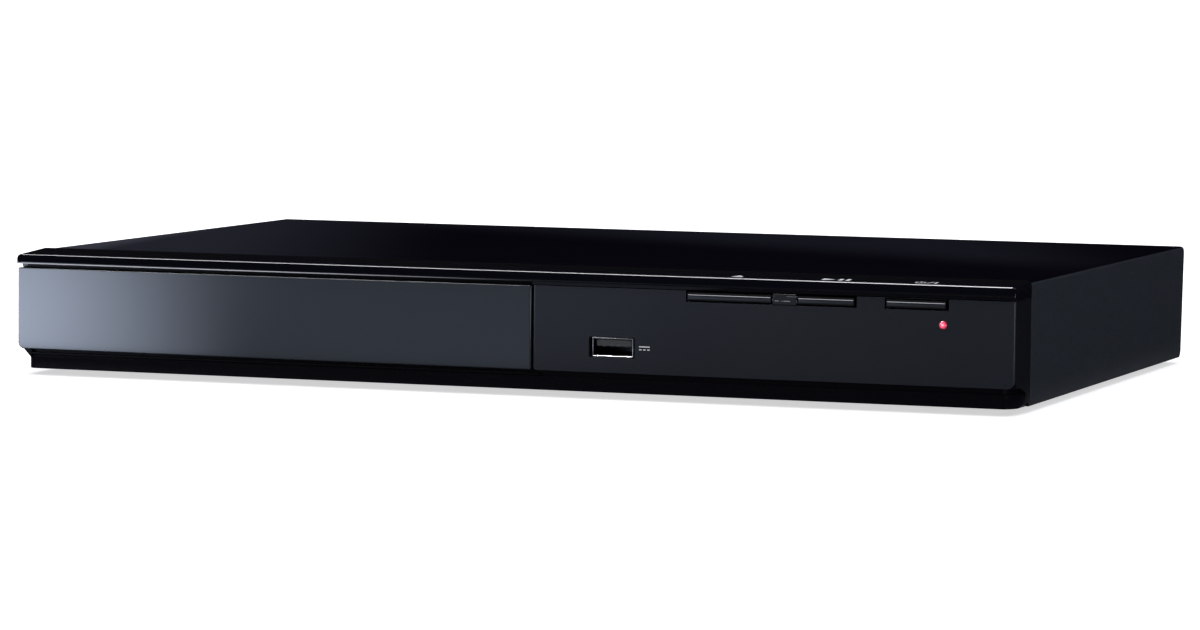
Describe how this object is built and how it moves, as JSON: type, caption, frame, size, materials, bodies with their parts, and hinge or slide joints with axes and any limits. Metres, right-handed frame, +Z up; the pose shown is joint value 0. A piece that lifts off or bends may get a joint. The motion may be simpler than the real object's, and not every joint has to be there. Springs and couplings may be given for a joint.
{
  "type": "disc player with tray",
  "caption": "Slim black disc player: wide low case with a motor-driven front tray, USB socket, push buttons and rear audio, video and mains sockets.",
  "frame": {"origin": "middle of the whole outline, on the surface that the feet stand on", "axes": "+X to the right seen from the front, +Y to the rear, +Z up; the tray opens towards -Y"},
  "size_m": [0.3254, 0.2146, 0.0393],
  "materials": {
    "cover_paint": "fine textured satin black powder coat",
    "chassis_zinc": "zinc-plated sheet",
    "rear_paint": "satin black paint",
    "panel_black": "fine satin black moulding",
    "trim_gloss": "polished black moulding",
    "door_black": "smooth satin blue-black moulding",
    "foot_rubber": "moulded rubber",
    "screw_black": "black passivated steel",
    "screw_zinc": "bright zinc-plated steel",
    "window_smoke": "polished dark red acrylic",
    "lamp_red": "clear lens lit pink-red",
    "board_green": "solder-masked laminate",
    "board_tan": "plain phenolic laminate",
    "part_dark": "moulded black package",
    "part_light": "moulded natural nylon",
    "switch_body": "black moulding with steel lid",
    "can_sleeve": "shrink sleeve",
    "shell_nickel": "nickel plate",
    "socket_red": "moulded red",
    "socket_green": "moulded green",
    "socket_blue": "moulded blue",
    "socket_yellow": "moulded yellow",
    "socket_white": "moulded white",
    "pin_brass": "plated brass",
    "coil_tape": "yellow polyester tape and ferrite",
    "sink_alu": "plain aluminium",
    "ribbon_white": "flat cable",
    "loader_grey": "moulded dark grey",
    "bridge_steel": "plated sheet",
    "motor_can": "drawn steel can",
    "belt_rubber": "square rubber belt",
    "tray_black": "fine textured dark moulding",
    "gear_natural": "natural acetal",
    "traverse_grey": "glass-filled moulding",
    "rod_steel": "ground steel",
    "turntable_black": "moulding with a soft seat",
    "pickup_metal": "die-cast alloy",
    "lens_glass": "coated lens",
    "clamper_black": "moulded dark grey",
    "button_black": "satin black moulding"
  },
  "bodies": {
    "case": {"bottom_chassis": "chassis_zinc", "top_cover": "cover_paint", "rear_panel": "rear_paint", "front_panel": "panel_black", "top_trim": "trim_gloss", "rubber_feet": "foot_rubber", "cover_screws": "screw_black", "board_screws": "screw_zinc", "sensor_window": "window_smoke", "lamp_lens": "lamp_red", "front_board": "board_tan", "tact_switches": "switch_body", "infrared_receiver": "part_dark", "standby_lamp": "lamp_red", "usb_shell": "shell_nickel", "usb_tongue": "part_light", "usb_board": "board_green", "main_board": "board_green", "main_chips": "part_dark", "board_connectors": "part_light", "board_capacitors": "can_sleeve", "av_socket_block": "part_dark", "av_sleeves": "shell_nickel", "insert_red": "socket_red", "insert_green": "socket_green", "insert_blue": "socket_blue", "insert_yellow": "socket_yellow", "insert_white": "socket_white", "mains_inlet": "part_dark", "inlet_pins": "pin_brass", "power_board": "board_tan", "transformer": "coil_tape", "bulk_capacitor": "can_sleeve", "power_heat_sink": "sink_alu", "front_ribbon": "ribbon_white", "loader_ribbon": "ribbon_white", "loader_frame": "loader_grey", "clamp_bridge": "bridge_steel", "loading_motor": "motor_can", "drive_belt": "belt_rubber", "loader_board": "board_green"},
    "tray_unit": {"tray": "tray_black", "tray_door": "door_black"},
    "tray_gear": {"tray_gear": "gear_natural"},
    "pulley_gear": {"pulley_gear": "gear_natural"},
    "motor_pulley": {"motor_pulley": "gear_natural"},
    "cam_slider": {"cam_slider": "gear_natural"},
    "traverse": {"traverse_frame": "traverse_grey", "spindle_motor": "motor_can", "guide_rods": "rod_steel", "sled_motor": "motor_can"},
    "turntable": {"turntable": "turntable_black"},
    "pickup": {"pickup_body": "pickup_metal", "pickup_lens": "lens_glass"},
    "lead_screw": {"lead_screw": "pin_brass"},
    "clamper": {"clamper": "clamper_black", "clamper_magnet": "rod_steel"},
    "eject_button": {"eject_button": "button_black"},
    "play_button": {"play_button": "button_black"},
    "power_button": {"power_button": "button_black"}
  },
  "joints": [
    {"name": "tray_slide", "type": "slide", "parent": "case", "child": "tray_unit", "axis": [0, -1, 0], "range_m": [0, 0.135]},
    {"name": "tray_gear_turn", "type": "hinge", "parent": "case", "child": "tray_gear", "pos_m": [-0.0264, -0.0859, 0.012], "axis": [0, 0, 1], "range_deg": [-911, 0]},
    {"name": "pulley_gear_turn", "type": "hinge", "parent": "case", "child": "pulley_gear", "pos_m": [-0.0453, -0.0859, 0.01], "axis": [0, 0, 1], "range_deg": [0, 1822]},
    {"name": "motor_pulley_turn", "type": "hinge", "parent": "case", "child": "motor_pulley", "pos_m": [-0.0959, -0.0877, 0.009], "axis": [0, 0, 1], "range_deg": [0, 5726]},
    {"name": "cam_slide", "type": "slide", "parent": "case", "child": "cam_slider", "axis": [-1, 0, 0], "range_m": [0, 0.01405]},
    {"name": "traverse_tilt", "type": "hinge", "parent": "case", "child": "traverse", "pos_m": [-0.0759, 0.0415, 0.0111], "axis": [1, 0, 0], "range_deg": [0, 2.66]},
    {"name": "turntable_spin", "type": "hinge", "parent": "traverse", "child": "turntable", "pos_m": [-0.0759, -0.0355, 0.022], "axis": [0, 0, 1], "continuous": true},
    {"name": "clamper_spin", "type": "hinge", "parent": "case", "child": "clamper", "pos_m": [-0.0759, -0.0355, 0.031], "axis": [0, 0, 1], "continuous": true},
    {"name": "pickup_slide", "type": "slide", "parent": "traverse", "child": "pickup", "axis": [0, 1, 0], "range_m": [0, 0.036]},
    {"name": "lead_screw_turn", "type": "hinge", "parent": "traverse", "child": "lead_screw", "pos_m": [-0.1059, 0.0035, 0.015], "axis": [0, 1, 0], "range_deg": [0, 4322]},
    {"name": "eject_button_press", "type": "slide", "parent": "case", "child": "eject_button", "axis": [0, 1, 0], "range_m": [0, 0.0004], "stiffness_N_per_m": 3000, "springref_m": -0.0002},
    {"name": "play_button_press", "type": "slide", "parent": "case", "child": "play_button", "axis": [0, 1, 0], "range_m": [0, 0.0004], "stiffness_N_per_m": 3000, "springref_m": -0.0002},
    {"name": "power_button_press", "type": "slide", "parent": "case", "child": "power_button", "axis": [0, 1, 0], "range_m": [0, 0.0004], "stiffness_N_per_m": 3000, "springref_m": -0.0002}
  ],
  "couplings": [
    {"joint": "tray_gear_turn", "follows": "tray_slide", "rad_per_m": -117.65},
    {"joint": "pulley_gear_turn", "follows": "tray_slide", "rad_per_m": 235.29},
    {"joint": "motor_pulley_turn", "follows": "tray_slide", "rad_per_m": 739.9},
    {"joint": "cam_slide", "follows": "traverse_tilt", "m_per_rad": 0.30193},
    {"joint": "lead_screw_turn", "follows": "pickup_slide", "rad_per_m": 2094.4}
  ]
}
